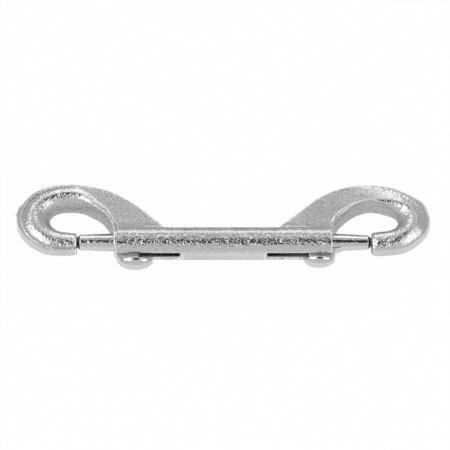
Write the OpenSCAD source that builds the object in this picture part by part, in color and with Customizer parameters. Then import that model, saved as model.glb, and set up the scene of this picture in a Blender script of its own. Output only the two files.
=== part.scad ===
// Double ended bolt snap, cast and plated, lying on its side.
// Lengths are in millimetres. X runs along the barrel, Y points to the hooks,
// Z is square to the plane of the hooks, and the origin is the middle of the barrel.

/* [Barrel] */
// Length of the barrel
barrel_len = 61.7; // [56:0.1:70]
// Outer diameter of the barrel
barrel_d = 9.3; // [9:0.1:11]
// Bevel round each end of the barrel
barrel_bevel = 0.4; // [0.2:0.05:0.8]
// Thickness over the two flats along the barrel's back
back_thick = 8.34; // [8.2:0.02:8.8]
// Height of the squared back above the barrel's axis
back_rise = 3.2; // [2.6:0.1:4]
// Diameter of the bore that guides each bolt
bore_d = 5.7; // [5.3:0.05:6.2]
// Height of the bore's axis above the barrel's axis, toward the hooks
bore_lift = 0.35; // [0:0.05:0.7]
// Thickness of the solid wall between the two bores
bore_wall = 4; // [2:0.1:8]
// Width of the slots along the underside
slot_w = 3.2; // [2.8:0.05:3.8]
// Width of a slot's mouth on the barrel's surface
slot_mouth_w = 4.4; // [4:0.05:5]
// Depth of the bevel round a slot's mouth
slot_bevel = 0.9; // [0.4:0.05:1.2]
// Rounding of the corners at a slot's inner end
slot_corner = 0.5; // [0.2:0.05:1]
// Length of the left slot, from the barrel's end to its inner end
left_slot_len = 18.3; // [16:0.1:21]
// Length of the right slot, from the barrel's end to its inner end
right_slot_len = 18.2; // [16:0.1:21]

/* [Hooks] */
// Thickness of the web where it leaves the barrel
web_thick = 8.2; // [7.6:0.1:8.3]
// Width of the nose in the plane of the hooks
nose_w = 5.9; // [5.2:0.1:6.6]

/* [Left hook] */
// Length of the web's foot along the barrel
left_foot = 13.8; // [11:0.1:17]
// Length of the eye beyond the barrel's end
left_eye_len = 18.45; // [17:0.05:21]
// Height of the eye above the barrel's axis
left_eye_top = 10.1; // [9:0.1:11.5]
// Height of the arch above the barrel's axis
left_arch_top = 16.9; // [15.5:0.1:18.5]
// Width of the hook at its far end
left_bar_w = 9.45; // [8:0.05:11]
// Distance from the barrel's end to the nose
left_nose_at = 10.75; // [9.8:0.05:12]

/* [Right hook] */
// Length of the web's foot along the barrel
right_foot = 15; // [12:0.1:18]
// Length of the eye beyond the barrel's end
right_eye_len = 18.7; // [17:0.05:21]
// Height of the eye above the barrel's axis
right_eye_top = 11.7; // [10.5:0.1:13]
// Height of the arch above the barrel's axis
right_arch_top = 17; // [15.5:0.1:18.5]
// Width of the hook at its far end
right_bar_w = 9.2; // [8:0.05:11]
// Distance from the barrel's end to the nose
right_nose_at = 11.1; // [10:0.05:12.2]

/* [Bolts] */
// Running clearance all round a bolt in its bore
bolt_fit = 0.1; // [0.05:0.01:0.1]
// Diameter of a bolt where it leaves the barrel
bolt_mouth_d = 5.2; // [4.8:0.05:5.3]
// Diameter of the left bolt at its tip
left_tip_d = 4.5; // [3.8:0.05:4.7]
// Diameter of the right bolt at its tip
right_tip_d = 4.1; // [3.6:0.05:4.7]
// Bevel round a bolt's tip
tip_bevel = 0.8; // [0.4:0.05:1]
// Gap between a bolt's tip and the nose of its hook
tip_gap = 0.3; // [0.1:0.05:0.5]
// Length of a bolt behind its stem
bolt_tail = 4.5; // [3:0.1:6]
// Gap on each side of a stem in its slot
stem_fit = 0.2; // [0.15:0.05:0.4]
// Length of the left stem along the slot
left_stem_len = 7.4; // [6:0.1:9]
// Length of the right stem along the slot, up to the barrel's end
right_stem_len = 7.2; // [6:0.1:9]
// Slope of the left stem's outer end, from the bolt down to the knob
left_stem_slope = 0.9; // [0.5:0.1:1.5]
// Reach of the right stem past the barrel's end
right_stem_out = 0.95; // [0.5:0.05:1.1]
// Slope of the right stem's outer end
right_stem_slope = 0.3; // [0.3:0.1:1]
// Radius of the fillet that joins the right stem to its bolt outside the barrel
stem_fillet = 1.7; // [1:0.1:2.2]
// Depth by which a stem runs into its knob
stem_root = 0.2; // [0.1:0.05:0.5]

/* [Thumb knobs] */
// Height of the left knob's axis below the barrel's axis
left_knob_drop = 5.1; // [4.9:0.05:5.8]
// Distance from the barrel's end to the left knob's outer end
left_knob_inset = 0.7; // [0.2:0.1:1.2]
// Length of the left knob
left_knob_len = 10.4; // [9.4:0.1:11.4]
// Width of the left knob
left_knob_w = 5.9; // [5.4:0.1:6.4]
// Height of the right knob's axis below the barrel's axis
right_knob_drop = 4.65; // [4.6:0.05:5.4]
// Length of the right knob
right_knob_len = 9.2; // [8.4:0.1:10.4]
// Width of the right knob
right_knob_w = 5.5; // [5:0.1:6]
// Depth of a knob's flat inner face below its axis
knob_face = 0.5; // [0.4:0.05:0.7]

/* [Springs] */
// Diameter of the spring wire
wire_d = 0.55; // [0.4:0.05:0.7]
// Gap between a spring and the bore
spring_fit = 0.25; // [0.15:0.05:0.4]
// Number of turns in a spring
spring_turns = 9; // [7:1:11]

/* [Hidden] */

// Smoothness of round surfaces
ROUND = 64;
// Margin by which a cut runs past the face that it opens
CUT = 1;
// Thickness of a cut's thin ends
SLIVER = 0.01;
// Steps between two key lines of a hook
HOOK_STEPS = 4;
// Points on the inner rounding of a hook's section
INNER_POINTS = 6;
// Points on the outer rounding of a hook's section
OUTER_POINTS = 4;
// Share of the fall from the crest to the crease that is reached halfway between them
CREST_DROP = 0.35;
// Steps along a knob's profile
KNOB_STEPS = 14;
// Steps round a stem's fillet
FILLET_STEPS = 6;
// Steps round one turn of a spring
COIL_STEPS = 12;
// Sides of the spring wire
WIRE_SIDES = 6;

barrel_half = barrel_len / 2;
barrel_r = barrel_d / 2;
bore_r = bore_d / 2;
shank_r = bore_r - bolt_fit;
stem_w = slot_w - 2 * stem_fit;
left_reach = left_eye_len + left_bar_w;
right_reach = right_eye_len + right_bar_w;
coil_r = bore_r - spring_fit - wire_d / 2;

// Key lines of the left hook from the barrel to the far end. Each line crosses the bar from the eye
// to the outside: shares of the eye's length and height, then of the reach (of the foot where
// negative) and the arch's height. The others shape the section there: height of the crest, the
// eye's wall, the outer crease and the outer wall as shares of the web's half thickness, way of the
// crest from the eye and of the crease from the outside as shares of the bar's width, and the angle
// in degrees at which the outer rounding starts
LEFT_UPPER = [
    [0.016, 0.00, -1.23, 0.00, 1.00, 0.85, 1.00, 0.96, 0.03, 0.95, 0],
    [0.024, 0.30, -1.00, 0.20, 1.00, 0.70, 1.00, 0.96, 0.04, 0.94, 0],
    [0.080, 0.48, -0.72, 0.425, 1.00, 0.45, 1.00, 0.96, 0.09, 0.88, 0],
    [0.212, 0.76, -0.28, 0.71, 1.01, 0.25, 1.00, 0.96, 0.17, 0.76, 0],
    [0.370, 0.92, 0.08, 0.895, 1.05, 0.15, 0.99, 0.94, 0.24, 0.62, 0],
    [0.596, 1.00, 0.382, 1.00, 1.09, 0.10, 0.98, 0.90, 0.57, 0.21, 0],
    [0.824, 0.98, 0.645, 0.98, 1.09, 0.08, 0.95, 0.80, 0.56, 0.20, 5],
    [0.954, 0.86, 0.870, 0.81, 1.07, 0.08, 0.89, 0.64, 0.54, 0.19, 10],
    [1.000, 0.678, 1.000, 0.45, 1.04, 0.08, 0.80, 0.44, 0.54, 0.18, 20]
];

// Key lines of the left hook from the far end to the nose: shares of the way from the nose to the
// far end, and of half the nose's width, then the same seven for the section
LEFT_LOWER = [
    [0.890, 1.60, 0.890, 0.54, 0.97, 0.08, 0.70, 0.26, 0.52, 0.16, 32],
    [0.630, 1.17, 0.555, -0.90, 0.88, 0.08, 0.60, 0.16, 0.50, 0.14, 44],
    [0.290, 1.01, 0.190, -1.14, 0.79, 0.08, 0.56, 0.13, 0.48, 0.12, 50],
    [0.045, 0.94, 0.022, -1.03, 0.72, 0.08, 0.52, 0.13, 0.48, 0.12, 50],
    [0.000, 0.85, 0.000, -0.93, 0.63, 0.08, 0.45, 0.12, 0.48, 0.13, 50]
];

// The same for the right hook, whose eye keeps a flat wall over the arch
RIGHT_UPPER = [
    [0.021, 0.00, -1.23, 0.00, 1.00, 0.60, 0.97, 0.90, 0.04, 0.02, 0],
    [0.032, 0.27, -1.00, 0.20, 1.00, 0.40, 0.97, 0.90, 0.05, 0.02, 0],
    [0.107, 0.49, -0.61, 0.492, 1.00, 0.30, 0.97, 0.90, 0.15, 0.02, 0],
    [0.241, 0.71, -0.20, 0.780, 1.00, 0.45, 0.97, 0.90, 0.16, 0.03, 0],
    [0.385, 0.90, 0.125, 0.940, 1.00, 0.75, 0.96, 0.85, 0.08, 0.06, 0],
    [0.590, 1.00, 0.380, 1.00, 1.01, 0.93, 0.93, 0.66, 0.06, 0.28, 10],
    [0.780, 0.915, 0.630, 0.970, 1.02, 0.72, 0.88, 0.42, 0.24, 0.34, 16],
    [0.925, 0.770, 0.875, 0.785, 1.02, 0.40, 0.82, 0.30, 0.45, 0.32, 20],
    [0.980, 0.660, 0.962, 0.635, 1.00, 0.20, 0.78, 0.27, 0.52, 0.30, 24],
    [1.000, 0.520, 1.000, 0.365, 0.98, 0.12, 0.75, 0.25, 0.54, 0.26, 30]
];

RIGHT_LOWER = [
    [0.900, 1.53, 0.905, 0.66, 0.94, 0.08, 0.70, 0.22, 0.52, 0.20, 38],
    [0.650, 1.22, 0.592, -0.78, 0.87, 0.08, 0.62, 0.17, 0.49, 0.15, 46],
    [0.290, 1.10, 0.195, -1.16, 0.81, 0.08, 0.57, 0.14, 0.48, 0.12, 50],
    [0.050, 1.00, 0.040, -1.10, 0.75, 0.08, 0.53, 0.14, 0.48, 0.12, 50],
    [0.000, 0.84, 0.000, -0.74, 0.64, 0.08, 0.45, 0.13, 0.48, 0.13, 50]
];

// A key line of the upper part in millimetres
function upper_line(k, foot, eye_len, eye_top, reach, arch_top) =
    [barrel_half + k[0] * eye_len, k[1] * eye_top,
     barrel_half + k[2] * (k[2] < 0 ? foot : reach), k[3] * arch_top,
     k[4], k[5], k[6], k[7], k[8], k[9], k[10]];

// A key line of the lower part in millimetres
function lower_line(k, nose_at, eye_len, reach) =
    [barrel_half + nose_at + k[0] * (eye_len - nose_at), k[1] * nose_w / 2,
     barrel_half + nose_at + k[2] * (reach - nose_at), k[3] * nose_w / 2,
     k[4], k[5], k[6], k[7], k[8], k[9], k[10]];

// Smooth value between two key lines
function between(a, b, c, d, u) =
    b + 0.5 * u * (c - a + u * (2 * a - 5 * b + 4 * c - d + u * (3 * (b - c) + d - a)));

function smooth_lines(keys) = [
    for (i = [0 : len(keys) - 2], j = [0 : HOOK_STEPS - 1])
        between(keys[max(i - 1, 0)], keys[i], keys[i + 1], keys[min(i + 2, len(keys) - 1)],
                j / HOOK_STEPS),
    keys[len(keys) - 1]
];

// Upper half of a bar's section, from the eye to the outside: way across the bar and height
function half_section(line, width) =
    let (
        crest = line[4] * web_thick / 2,
        eye_wall = line[5] * web_thick / 2,
        crease = line[6] * web_thick / 2,
        outer_wall = line[7] * web_thick / 2,
        inner_depth = line[8] * width,
        outer_depth = line[9] * width,
        start = line[10]
    )
    [
        for (i = [0 : INNER_POINTS - 1])
            let (a = 90 * i / (INNER_POINTS - 1))
            [inner_depth * (1 - cos(a)), eye_wall + (crest - eye_wall) * sin(a)],
        [(inner_depth + width - outer_depth) / 2, crest + CREST_DROP * (crease - crest)],
        for (i = [0 : OUTER_POINTS - 1])
            let (a = start + (90 - start) * i / (OUTER_POINTS - 1))
            [width - outer_depth * (1 - sin(a)) / (1 - sin(start)),
             outer_wall + (crease - outer_wall) * cos(a) / cos(start)]
    ];

// Ring of points round the bar on one line: the upper half, then the lower half back
function bar_ring(line) =
    let (
        from = [line[0], line[1]],
        span = [line[2], line[3]] - from,
        width = norm(span),
        way = span / width,
        half = half_section(line, width),
        last = len(half) - 1
    )
    [
        for (p = half) [from.x + way.x * p[0], from.y + way.y * p[0], p[1]],
        for (i = [last : -1 : 0])
            [from.x + way.x * half[i][0], from.y + way.y * half[i][0], -half[i][1]]
    ];

// Solid that runs through rings of equal length, each one its own mirror image in the plane Z = 0
module ring_solid(rings) {
    sides = len(rings[0]);
    last = len(rings) - 1;
    points = [for (ring = rings, p = ring) p];
    faces = [
        for (r = [0 : last - 1], i = [0 : sides - 1], half = [0, 1])
            let (
                a = r * sides + i,
                b = r * sides + (i + 1) % sides
            )
            half == 0 ? [a, b, b + sides] : [a, b + sides, a + sides],
        for (end = [0, last], i = [0 : sides / 2 - 2], half = [0, 1])
            let (
                a = end * sides + i,
                b = end * sides + sides - 1 - i,
                flip = end == 0
            )
            half == 0 ? (flip ? [a, b, a + 1] : [a, a + 1, b])
                      : (flip ? [b, b - 1, a + 1] : [b, a + 1, b - 1])
    ];
    polyhedron(points, faces, convexity = 6);
}

// Hook with its web, on the side of positive X
module hook(upper, lower, foot, eye_len, eye_top, reach, arch_top, nose_at) {
    keys = [
        for (k = upper) upper_line(k, foot, eye_len, eye_top, reach, arch_top),
        for (k = lower) lower_line(k, nose_at, eye_len, reach)
    ];
    ring_solid([for (line = smooth_lines(keys)) bar_ring(line)]);
}

// Barrel with bevelled ends, its axis on X
module barrel() {
    rotate([0, 90, 0])
        cylinder(h = barrel_len - 2 * barrel_bevel, r = barrel_r, center = true, $fn = ROUND);
    for (side = [-1, 1])
        rotate([0, 90 * side, 0])
            translate([0, 0, barrel_half - barrel_bevel])
                cylinder(h = barrel_bevel, r1 = barrel_r, r2 = barrel_r - barrel_bevel, $fn = ROUND);
}

// Squared back that carries the foot of each web
module back() {
    translate([-barrel_half + barrel_bevel, 0, -back_thick / 2])
        cube([barrel_len - 2 * barrel_bevel, back_rise, back_thick]);
}

// Straight part of a slot below the barrel's axis, with its inner corners rounded
module slot(slot_len) {
    inner = barrel_half - slot_len;
    translate([inner + slot_corner, -barrel_d, -slot_w / 2])
        cube([slot_len, barrel_d, slot_w]);
    translate([inner, -barrel_d, -slot_w / 2 + slot_corner])
        cube([slot_len, barrel_d, slot_w - 2 * slot_corner]);
    for (side = [-1, 1])
        translate([inner + slot_corner, 0, side * (slot_w / 2 - slot_corner)])
            rotate([90, 0, 0])
                cylinder(h = barrel_d, r = slot_corner, $fn = ROUND);
}

// Bevelled mouth of a slot, which widens to its full width at the barrel's surface
module slot_mouth(slot_len) {
    inner = barrel_half - slot_len;
    spread = (slot_mouth_w - slot_w) / 2;
    surface = -sqrt(barrel_r * barrel_r - slot_mouth_w * slot_mouth_w / 4);
    hull()
        for (out = [0, 2])
            translate([inner - out * spread, surface + (1 - out) * slot_bevel,
                       -slot_w / 2 - out * spread])
                cube([slot_len + out * spread + CUT, SLIVER, slot_w + 2 * out * spread]);
}

// Blind bore and open slot for one bolt, on the side of positive X
module bolt_way(slot_len) {
    translate([bore_wall / 2, bore_lift, 0])
        rotate([0, 90, 0])
            cylinder(h = barrel_half + CUT - bore_wall / 2, r = bore_r, $fn = ROUND);
    slot(slot_len);
    slot_mouth(slot_len);
}

module snap_body() {
    color("silver")
        difference() {
            union() {
                barrel();
                back();
                mirror([1, 0, 0])
                    hook(LEFT_UPPER, LEFT_LOWER, left_foot, left_eye_len, left_eye_top,
                         left_reach, left_arch_top, left_nose_at);
                hook(RIGHT_UPPER, RIGHT_LOWER, right_foot, right_eye_len, right_eye_top,
                     right_reach, right_arch_top, right_nose_at);
            }
            mirror([1, 0, 0]) bolt_way(left_slot_len);
            bolt_way(right_slot_len);
        }
}

// Turned part of a bolt, from behind its stem to the tip, on the side of positive X
module bolt_pin(stem_len, nose_at, tip_d) {
    tail = barrel_half - stem_len - bolt_tail;
    tip = barrel_half + nose_at - tip_gap;
    translate([0, bore_lift, 0])
        rotate([0, 90, 0])
            rotate_extrude($fn = ROUND)
                polygon([
                    [0, tail], [shank_r, tail], [shank_r, barrel_half - CUT],
                    [bolt_mouth_d / 2, barrel_half], [tip_d / 2, tip - tip_bevel],
                    [tip_d / 2 - tip_bevel, tip], [0, tip]
                ]);
}

// Stem that reaches from the bolt down through the slot to the knob's face, with a round inner end.
// Its outer end starts past the barrel by the given reach and slopes back toward the knob.
module stem(stem_len, drop, out, slope) {
    inner = barrel_half - stem_len + stem_w / 2;
    outer = barrel_half + out;
    low = drop + knob_face + stem_root;
    translate([0, 0, -stem_w / 2])
        linear_extrude(stem_w)
            polygon([
                [inner, bore_lift], [inner, -low], [outer - slope, -low],
                [outer, bore_lift - shank_r], [outer, bore_lift]
            ]);
    translate([inner, bore_lift, 0])
        rotate([90, 0, 0])
            cylinder(h = low + bore_lift, r = stem_w / 2, $fn = ROUND);
}

// Radius of a bolt at a distance past the barrel's end
function pin_r(past, nose_at, tip_d) =
    (bolt_mouth_d + (tip_d - bolt_mouth_d) * past / (nose_at - tip_gap - tip_bevel)) / 2;

// Hollow fillet between a stem's outer end and the underside of its bolt
module outer_fillet(out, nose_at, tip_d) {
    from = barrel_half + out - CUT / 2;
    under = bore_lift - pin_r(out + stem_fillet, nose_at, tip_d);
    reach = stem_fillet + CUT / 2;
    translate([0, 0, -stem_w / 2])
        linear_extrude(stem_w)
            polygon([
                [from, bore_lift],
                for (i = [0 : FILLET_STEPS])
                    let (a = 90 * i / FILLET_STEPS)
                    [from + reach * (1 - cos(a)), under - stem_fillet * (1 - sin(a))],
                [from + reach, bore_lift]
            ]);
}

// Oblong domed knob with a flat face toward the barrel
module knob(at, length, width, drop) {
    translate([at, -drop, 0])
        intersection() {
            rotate([0, 90, 0])
                rotate_extrude($fn = ROUND)
                    polygon([
                        for (i = [0 : KNOB_STEPS])
                            let (a = 180 * i / KNOB_STEPS - 90)
                            [width / 2 * cos(a), length / 2 * sin(a)]
                    ]);
            translate([-length, -width, -width])
                cube([2 * length, width - knob_face, 2 * width]);
        }
}

module left_bolt() {
    color("gainsboro")
        mirror([1, 0, 0])
            union() {
                bolt_pin(left_stem_len, left_nose_at, left_tip_d);
                stem(left_stem_len, left_knob_drop, 0, left_stem_slope);
                knob(barrel_half - left_knob_inset - left_knob_len / 2, left_knob_len, left_knob_w,
                     left_knob_drop);
            }
}

module right_bolt() {
    color("gainsboro")
        union() {
            bolt_pin(right_stem_len, right_nose_at, right_tip_d);
            stem(right_stem_len, right_knob_drop, right_stem_out, right_stem_slope);
            outer_fillet(right_stem_out, right_nose_at, right_tip_d);
            knob(barrel_half + right_stem_out - right_knob_len / 2, right_knob_len, right_knob_w,
                 right_knob_drop);
        }
}

// Wire of a coil spring along X, from one flat seat to the other
module coil(from, to) {
    steps = spring_turns * COIL_STEPS;
    rise = to - from - wire_d;
    rings = [
        for (i = [0 : steps])
            let (a = 360 * i / COIL_STEPS)
            [
                for (j = [0 : WIRE_SIDES - 1])
                    let (
                        b = 360 * j / WIRE_SIDES,
                        r = coil_r + wire_d / 2 * cos(b)
                    )
                    [from + wire_d / 2 + rise * i / steps + wire_d / 2 * sin(b), r * cos(a), r * sin(a)]
            ]
    ];
    points = [for (ring = rings, p = ring) p];
    faces = [
        for (r = [0 : steps - 1], i = [0 : WIRE_SIDES - 1], half = [0, 1])
            let (
                a = r * WIRE_SIDES + i,
                b = r * WIRE_SIDES + (i + 1) % WIRE_SIDES
            )
            half == 0 ? [a, b + WIRE_SIDES, b] : [a, a + WIRE_SIDES, b + WIRE_SIDES],
        [for (i = [0 : WIRE_SIDES - 1]) i],
        [for (i = [WIRE_SIDES - 1 : -1 : 0]) steps * WIRE_SIDES + i]
    ];
    translate([0, bore_lift, 0]) polyhedron(points, faces, convexity = 4);
}

module left_spring() {
    color("slategray")
        mirror([1, 0, 0])
            coil(bore_wall / 2, barrel_half - left_stem_len - bolt_tail);
}

module right_spring() {
    color("slategray")
        coil(bore_wall / 2, barrel_half - right_stem_len - bolt_tail);
}

snap_body();
left_bolt();
right_bolt();
left_spring();
right_spring();
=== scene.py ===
import math

import bmesh
import bpy
import numpy as np
from mathutils import Matrix, Vector, kdtree, noise


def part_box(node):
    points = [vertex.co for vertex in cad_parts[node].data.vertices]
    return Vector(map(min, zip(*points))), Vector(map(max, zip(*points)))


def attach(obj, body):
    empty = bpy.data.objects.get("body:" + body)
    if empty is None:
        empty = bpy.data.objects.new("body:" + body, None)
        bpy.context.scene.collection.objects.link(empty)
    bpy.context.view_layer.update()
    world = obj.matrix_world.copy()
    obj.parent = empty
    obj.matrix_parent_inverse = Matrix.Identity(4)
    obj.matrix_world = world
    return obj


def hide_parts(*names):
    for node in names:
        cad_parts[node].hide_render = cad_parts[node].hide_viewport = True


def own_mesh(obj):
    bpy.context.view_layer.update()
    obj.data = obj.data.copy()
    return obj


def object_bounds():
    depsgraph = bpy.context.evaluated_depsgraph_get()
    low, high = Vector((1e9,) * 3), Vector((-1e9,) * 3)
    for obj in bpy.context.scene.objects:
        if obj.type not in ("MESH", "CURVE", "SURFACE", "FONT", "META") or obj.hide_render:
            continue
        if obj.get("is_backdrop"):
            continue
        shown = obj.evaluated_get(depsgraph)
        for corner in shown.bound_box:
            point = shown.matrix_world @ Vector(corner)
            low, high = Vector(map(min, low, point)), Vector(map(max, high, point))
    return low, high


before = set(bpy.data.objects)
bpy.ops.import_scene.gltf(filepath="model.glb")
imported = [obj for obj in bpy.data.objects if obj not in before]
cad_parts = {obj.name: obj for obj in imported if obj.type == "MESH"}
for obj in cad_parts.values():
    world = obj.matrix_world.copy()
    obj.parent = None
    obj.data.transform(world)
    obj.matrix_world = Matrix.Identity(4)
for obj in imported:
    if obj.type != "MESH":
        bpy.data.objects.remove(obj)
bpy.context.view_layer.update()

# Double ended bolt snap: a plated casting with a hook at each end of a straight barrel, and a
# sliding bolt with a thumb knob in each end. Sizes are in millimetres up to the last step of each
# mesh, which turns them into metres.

MM = 0.001


# Sizes of the casting

barrel_len = 61.7
barrel_d = 9.3
barrel_bevel = 0.15
left_end_reach = 0.25
back_thick = 8.34
back_rise = 3.2
shoulder_z = 4.62
shoulder_rise = 1.55
shoulder_step = 0.3
bore_d = 5.7
bore_lift = 0.35
bore_wall = 4.0
slot_w = 3.2
slot_mouth_w = 4.4
slot_bevel = 0.9
slot_corner = 0.5
cutter_overrun = 1
slot_len = {-1: 18.3, 1: 18.2}
web_thick = 8.2
nose_w = 5.9
tip_gap = 0.3
tip_reach = 0.2
barrel_half = barrel_len / 2
barrel_r = barrel_d / 2

# Hook sizes by side, left at -1 and right at 1
foot = {-1: 13.8, 1: 15.0}
eye_len = {-1: 18.45, 1: 18.7}
eye_top = {-1: 10.1, 1: 11.7}
arch_top = {-1: 16.9, 1: 17.0}
bar_w = {-1: 9.45, 1: 9.2}
nose_at = {-1: 10.75, 1: 11.1}

# Key lines across each hook's bar from the barrel to the far end. Shares of the eye's length and
# height, of the reach (of the foot where negative) and the arch's height, then the heights of the
# crest, the eye's wall, the outer crease and the outer wall as shares of the web's half thickness,
# the ways of the crest from the eye and of the crease from the outside as shares of the bar's
# width, and the angle at which the outer rounding starts.
UPPER = {
    -1: [
        [0.016, 0.00, -1.23, 0.00, 1.00, 0.85, 1.00, 0.96, 0.03, 0.95, 0],
        [0.024, 0.30, -1.00, 0.20, 1.00, 0.70, 1.00, 0.96, 0.04, 0.94, 0],
        [0.080, 0.48, -0.72, 0.425, 1.00, 0.45, 1.00, 0.96, 0.09, 0.88, 0],
        [0.212, 0.76, -0.28, 0.71, 1.01, 0.25, 1.00, 0.96, 0.17, 0.76, 0],
        [0.370, 0.92, 0.08, 0.895, 1.05, 0.15, 0.99, 0.94, 0.24, 0.62, 0],
        [0.596, 1.00, 0.382, 1.00, 1.09, 0.10, 0.98, 0.90, 0.57, 0.21, 0],
        [0.824, 0.98, 0.645, 0.98, 1.09, 0.08, 0.95, 0.80, 0.56, 0.20, 5],
        [0.954, 0.86, 0.870, 0.81, 1.07, 0.08, 0.89, 0.64, 0.54, 0.19, 10],
        [1.000, 0.678, 1.000, 0.45, 1.04, 0.08, 0.80, 0.44, 0.54, 0.18, 20],
    ],
    1: [
        [0.021, 0.00, -1.23, 0.00, 1.00, 0.60, 0.97, 0.90, 0.04, 0.02, 0],
        [0.032, 0.27, -1.00, 0.20, 1.00, 0.40, 0.97, 0.90, 0.05, 0.02, 0],
        [0.107, 0.49, -0.61, 0.492, 1.00, 0.30, 0.97, 0.90, 0.15, 0.02, 0],
        [0.241, 0.71, -0.20, 0.780, 1.00, 0.45, 0.97, 0.90, 0.16, 0.03, 0],
        [0.385, 0.90, 0.125, 0.940, 1.00, 0.75, 0.96, 0.85, 0.08, 0.06, 0],
        [0.590, 1.00, 0.380, 1.00, 1.01, 0.93, 0.93, 0.66, 0.06, 0.28, 10],
        [0.780, 0.915, 0.630, 0.970, 1.02, 0.72, 0.88, 0.42, 0.24, 0.34, 16],
        [0.925, 0.770, 0.875, 0.785, 1.02, 0.40, 0.82, 0.30, 0.45, 0.32, 20],
        [0.980, 0.660, 0.962, 0.635, 1.00, 0.20, 0.78, 0.27, 0.52, 0.30, 24],
        [1.000, 0.520, 1.000, 0.365, 0.98, 0.12, 0.75, 0.25, 0.54, 0.26, 30],
    ],
}
# The same from the far end to the nose, with shares of the way between them and of half the
# nose's width in the first four places
LOWER = {
    -1: [
        [0.890, 1.60, 0.890, 0.54, 0.97, 0.08, 0.70, 0.26, 0.52, 0.16, 32],
        [0.630, 1.17, 0.555, -0.90, 0.88, 0.08, 0.60, 0.16, 0.50, 0.14, 44],
        [0.290, 1.01, 0.190, -1.14, 0.79, 0.08, 0.56, 0.13, 0.48, 0.12, 50],
        [0.045, 0.94, 0.022, -1.03, 0.72, 0.08, 0.52, 0.13, 0.48, 0.12, 50],
        [0.000, 0.85, 0.000, -0.93, 0.63, 0.08, 0.45, 0.12, 0.48, 0.13, 50],
    ],
    1: [
        [0.900, 1.53, 0.905, 0.66, 0.94, 0.08, 0.70, 0.22, 0.52, 0.20, 38],
        [0.650, 1.22, 0.592, -0.78, 0.87, 0.08, 0.62, 0.17, 0.49, 0.15, 46],
        [0.290, 1.10, 0.195, -1.16, 0.81, 0.08, 0.57, 0.14, 0.48, 0.12, 50],
        [0.050, 1.00, 0.040, -1.10, 0.75, 0.08, 0.53, 0.14, 0.48, 0.12, 50],
        [0.000, 0.84, 0.000, -0.74, 0.64, 0.08, 0.45, 0.13, 0.48, 0.13, 50],
    ],
}

# Places in a key line of the heights, of the ways across the bar and of the rounding's angle
CREST_HEIGHT = 4
CREASE_HEIGHT = 6
CREST_WAY = 8
CREASE_WAY = 9
ROUND_START = 10

# Powers of the rounding at the eye and of the slope behind it, with what the facing adds or takes.
# The rounding's power grows from its least share to the whole at the given way of the crest.
EYE_POWER = 1.12
EYE_POWER_BY_WAY = 0.13
LEAST_POWER = 0.45
FULL_POWER_WAY = 0.4
SLOPE_POWER = 1.5
SLOPE_POWER_BY_WAY = 0.25

# Fineness of the meshes
LINE_STEPS = 12
WALL_POINTS = 4
INNER_POINTS = 18
SLOPE_POINTS = 10
OUTER_POINTS = 10
CORNER_STEPS = 6
ROUND = 128
BODY_VOXEL = 0.15
BODY_TRIANGLES = 190000
BOLT_VOXEL = 0.1


# Mesh helpers

def new_object(name, verts, faces):
    mesh = bpy.data.meshes.new(name)
    mesh.from_pydata([tuple(v) for v in verts], [], faces)
    mesh.validate()
    obj = bpy.data.objects.new(name, mesh)
    bpy.context.scene.collection.objects.link(obj)
    return obj


def apply_modifiers(obj):
    """Replaces the object's mesh by the one its modifiers make."""
    bpy.context.view_layer.update()
    graph = bpy.context.evaluated_depsgraph_get()
    made = bpy.data.meshes.new_from_object(obj.evaluated_get(graph))
    obj.modifiers.clear()
    obj.data = made


def combine(obj, other, operation):
    """Joins other to obj, or cuts it away, and removes other."""
    mod = obj.modifiers.new("combine", "BOOLEAN")
    mod.object = other
    mod.operation = operation
    mod.solver = "MANIFOLD"
    apply_modifiers(obj)
    bpy.data.objects.remove(other)


def remesh(obj, voxel):
    mod = obj.modifiers.new("remesh", "REMESH")
    mod.mode = "VOXEL"
    mod.voxel_size = voxel
    mod.use_smooth_shade = True
    apply_modifiers(obj)


def revolve(name, profile):
    """Solid of revolution round X through (x, radius) points, closed on the axis at both ends."""
    verts = [(profile[0][0], 0, 0)]
    for x, r in profile:
        for i in range(ROUND):
            a = 2 * math.pi * i / ROUND
            verts.append((x, r * math.cos(a), r * math.sin(a)))
    verts.append((profile[-1][0], 0, 0))
    faces = []
    for i in range(ROUND):
        j = (i + 1) % ROUND
        faces.append((0, 1 + i, 1 + j))
        for k in range(len(profile) - 1):
            a = 1 + k * ROUND
            b = a + ROUND
            faces.append((a + i, b + i, b + j, a + j))
        last = 1 + (len(profile) - 1) * ROUND
        faces.append((last + i, len(verts) - 1, last + j))
    return new_object(name, verts, faces)


def prism(name, outline, low, high, high_outline=None):
    """Solid between an outline of (x, z) points at one Y and the same or another at a second Y."""
    n = len(outline)
    verts = [(x, low, z) for x, z in outline]
    verts += [(x, high, z) for x, z in high_outline or outline]
    faces = [tuple(range(n)), tuple(range(2 * n - 1, n - 1, -1))]
    faces += [(i, i + n, (i + 1) % n + n, (i + 1) % n) for i in range(n)]
    return new_object(name, verts, faces)


def outward(obj):
    """Turns all faces outward."""
    bm = bmesh.new()
    bm.from_mesh(obj.data)
    bmesh.ops.recalc_face_normals(bm, faces=bm.faces)
    bm.to_mesh(obj.data)
    bm.free()
    return obj


# Hooks

def between(a, b, c, d, u):
    """Point at share u of the way from b to c on a smooth curve that also heeds a and d."""
    return b + 0.5 * u * (c - a + u * (2 * a - 5 * b + 4 * c - d + u * (3 * (b - c) + d - a)))


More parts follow.
